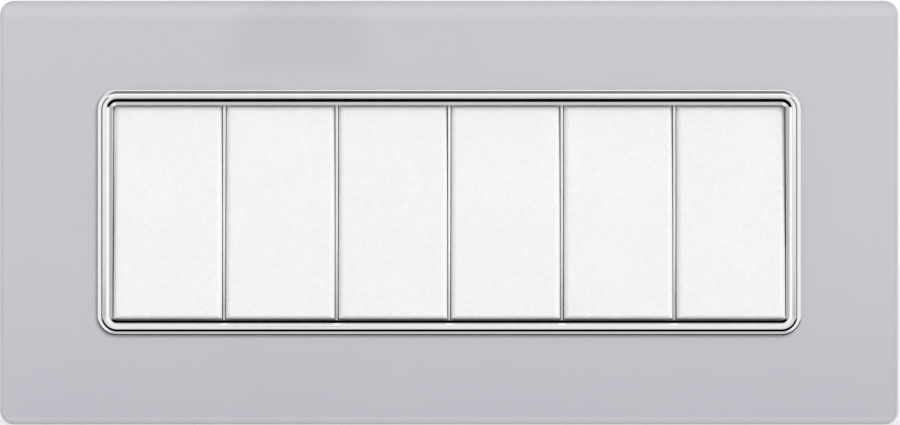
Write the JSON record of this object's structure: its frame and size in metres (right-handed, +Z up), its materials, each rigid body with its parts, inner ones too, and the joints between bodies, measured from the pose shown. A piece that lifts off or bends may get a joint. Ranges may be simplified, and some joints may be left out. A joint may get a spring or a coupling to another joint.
{
  "type": "wall switch plate",
  "caption": "Wide wall switch plate: pale grey back-painted glass with a polished chrome bezel round a row of white rocker switches, each working a contact behind it.",
  "frame": {"origin": "on the wall plane, midway between the two box screw slots, behind the plate's centre", "axes": "+X along the plate to the right as seen from the room, +Y into the wall, +Z up"},
  "size_m": [0.1916, 0.0321, 0.0904],
  "materials": {
    "painted_glass": "clear glass with polished arrissed edges, painted pale grey on its back",
    "carrier_plastic": "pale grey moulded plastic",
    "bezel_chrome": "polished bright chrome",
    "frame_plastic": "dark grey moulded plastic",
    "housing_plastic": "white moulded plastic",
    "rocker_plastic": "white plastic with a fine matt grain",
    "plunger_plastic": "natural slippery plastic",
    "spring_steel": "bright spring wire",
    "contact_brass": "stamped brass",
    "screw_steel": "zinc-plated steel"
  },
  "bodies": {
    "plate": {"glass_plate": "painted_glass", "carrier_frame": "carrier_plastic", "chrome_bezel": "bezel_chrome", "support_frame": "frame_plastic", "terminal_screws": "screw_steel", "switch_housing_1": "housing_plastic", "switch_housing_2": "housing_plastic", "switch_housing_3": "housing_plastic", "switch_housing_4": "housing_plastic", "switch_housing_5": "housing_plastic", "switch_housing_6": "housing_plastic", "line_terminal_1": "contact_brass", "line_terminal_2": "contact_brass", "line_terminal_3": "contact_brass", "line_terminal_4": "contact_brass", "line_terminal_5": "contact_brass", "line_terminal_6": "contact_brass", "load_terminal_1": "contact_brass", "load_terminal_2": "contact_brass", "load_terminal_3": "contact_brass", "load_terminal_4": "contact_brass", "load_terminal_5": "contact_brass", "load_terminal_6": "contact_brass"},
    "rocker_1": {"rocker_1": "rocker_plastic", "contact_plunger_1": "plunger_plastic", "plunger_spring_1": "spring_steel"},
    "bridge_1": {"contact_bridge_1": "contact_brass"},
    "rocker_2": {"rocker_2": "rocker_plastic", "contact_plunger_2": "plunger_plastic", "plunger_spring_2": "spring_steel"},
    "bridge_2": {"contact_bridge_2": "contact_brass"},
    "rocker_3": {"rocker_3": "rocker_plastic", "contact_plunger_3": "plunger_plastic", "plunger_spring_3": "spring_steel"},
    "bridge_3": {"contact_bridge_3": "contact_brass"},
    "rocker_4": {"rocker_4": "rocker_plastic", "contact_plunger_4": "plunger_plastic", "plunger_spring_4": "spring_steel"},
    "bridge_4": {"contact_bridge_4": "contact_brass"},
    "rocker_5": {"rocker_5": "rocker_plastic", "contact_plunger_5": "plunger_plastic", "plunger_spring_5": "spring_steel"},
    "bridge_5": {"contact_bridge_5": "contact_brass"},
    "rocker_6": {"rocker_6": "rocker_plastic", "contact_plunger_6": "plunger_plastic", "plunger_spring_6": "spring_steel"},
    "bridge_6": {"contact_bridge_6": "contact_brass"}
  },
  "joints": [
    {"name": "rocker_1_tilt", "type": "hinge", "parent": "plate", "child": "rocker_1", "pos_m": [-0.06, -0.0059, 0], "axis": [1, 0, 0], "range_deg": [0, 6]},
    {"name": "bridge_1_tilt", "type": "hinge", "parent": "plate", "child": "bridge_1", "pos_m": [-0.06, 0.0081, 0], "axis": [1, 0, 0], "range_deg": [-12, 0]},
    {"name": "rocker_2_tilt", "type": "hinge", "parent": "plate", "child": "rocker_2", "pos_m": [-0.036, -0.0059, 0], "axis": [1, 0, 0], "range_deg": [0, 6]},
    {"name": "bridge_2_tilt", "type": "hinge", "parent": "plate", "child": "bridge_2", "pos_m": [-0.036, 0.0081, 0], "axis": [1, 0, 0], "range_deg": [-12, 0]},
    {"name": "rocker_3_tilt", "type": "hinge", "parent": "plate", "child": "rocker_3", "pos_m": [-0.012, -0.0059, 0], "axis": [1, 0, 0], "range_deg": [0, 6]},
    {"name": "bridge_3_tilt", "type": "hinge", "parent": "plate", "child": "bridge_3", "pos_m": [-0.012, 0.0081, 0], "axis": [1, 0, 0], "range_deg": [-12, 0]},
    {"name": "rocker_4_tilt", "type": "hinge", "parent": "plate", "child": "rocker_4", "pos_m": [0.012, -0.0059, 0], "axis": [1, 0, 0], "range_deg": [0, 6]},
    {"name": "bridge_4_tilt", "type": "hinge", "parent": "plate", "child": "bridge_4", "pos_m": [0.012, 0.0081, 0], "axis": [1, 0, 0], "range_deg": [-12, 0]},
    {"name": "rocker_5_tilt", "type": "hinge", "parent": "plate", "child": "rocker_5", "pos_m": [0.036, -0.0059, 0], "axis": [1, 0, 0], "range_deg": [0, 6]},
    {"name": "bridge_5_tilt", "type": "hinge", "parent": "plate", "child": "bridge_5", "pos_m": [0.036, 0.0081, 0], "axis": [1, 0, 0], "range_deg": [-12, 0]},
    {"name": "rocker_6_tilt", "type": "hinge", "parent": "plate", "child": "rocker_6", "pos_m": [0.06, -0.0059, 0], "axis": [1, 0, 0], "range_deg": [0, 6]},
    {"name": "bridge_6_tilt", "type": "hinge", "parent": "plate", "child": "bridge_6", "pos_m": [0.06, 0.0081, 0], "axis": [1, 0, 0], "range_deg": [-12, 0]}
  ],
  "couplings": [
    {"joint": "bridge_1_tilt", "follows": "rocker_1_tilt", "ratio": -2},
    {"joint": "bridge_2_tilt", "follows": "rocker_2_tilt", "ratio": -2},
    {"joint": "bridge_3_tilt", "follows": "rocker_3_tilt", "ratio": -2},
    {"joint": "bridge_4_tilt", "follows": "rocker_4_tilt", "ratio": -2},
    {"joint": "bridge_5_tilt", "follows": "rocker_5_tilt", "ratio": -2},
    {"joint": "bridge_6_tilt", "follows": "rocker_6_tilt", "ratio": -2}
  ]
}
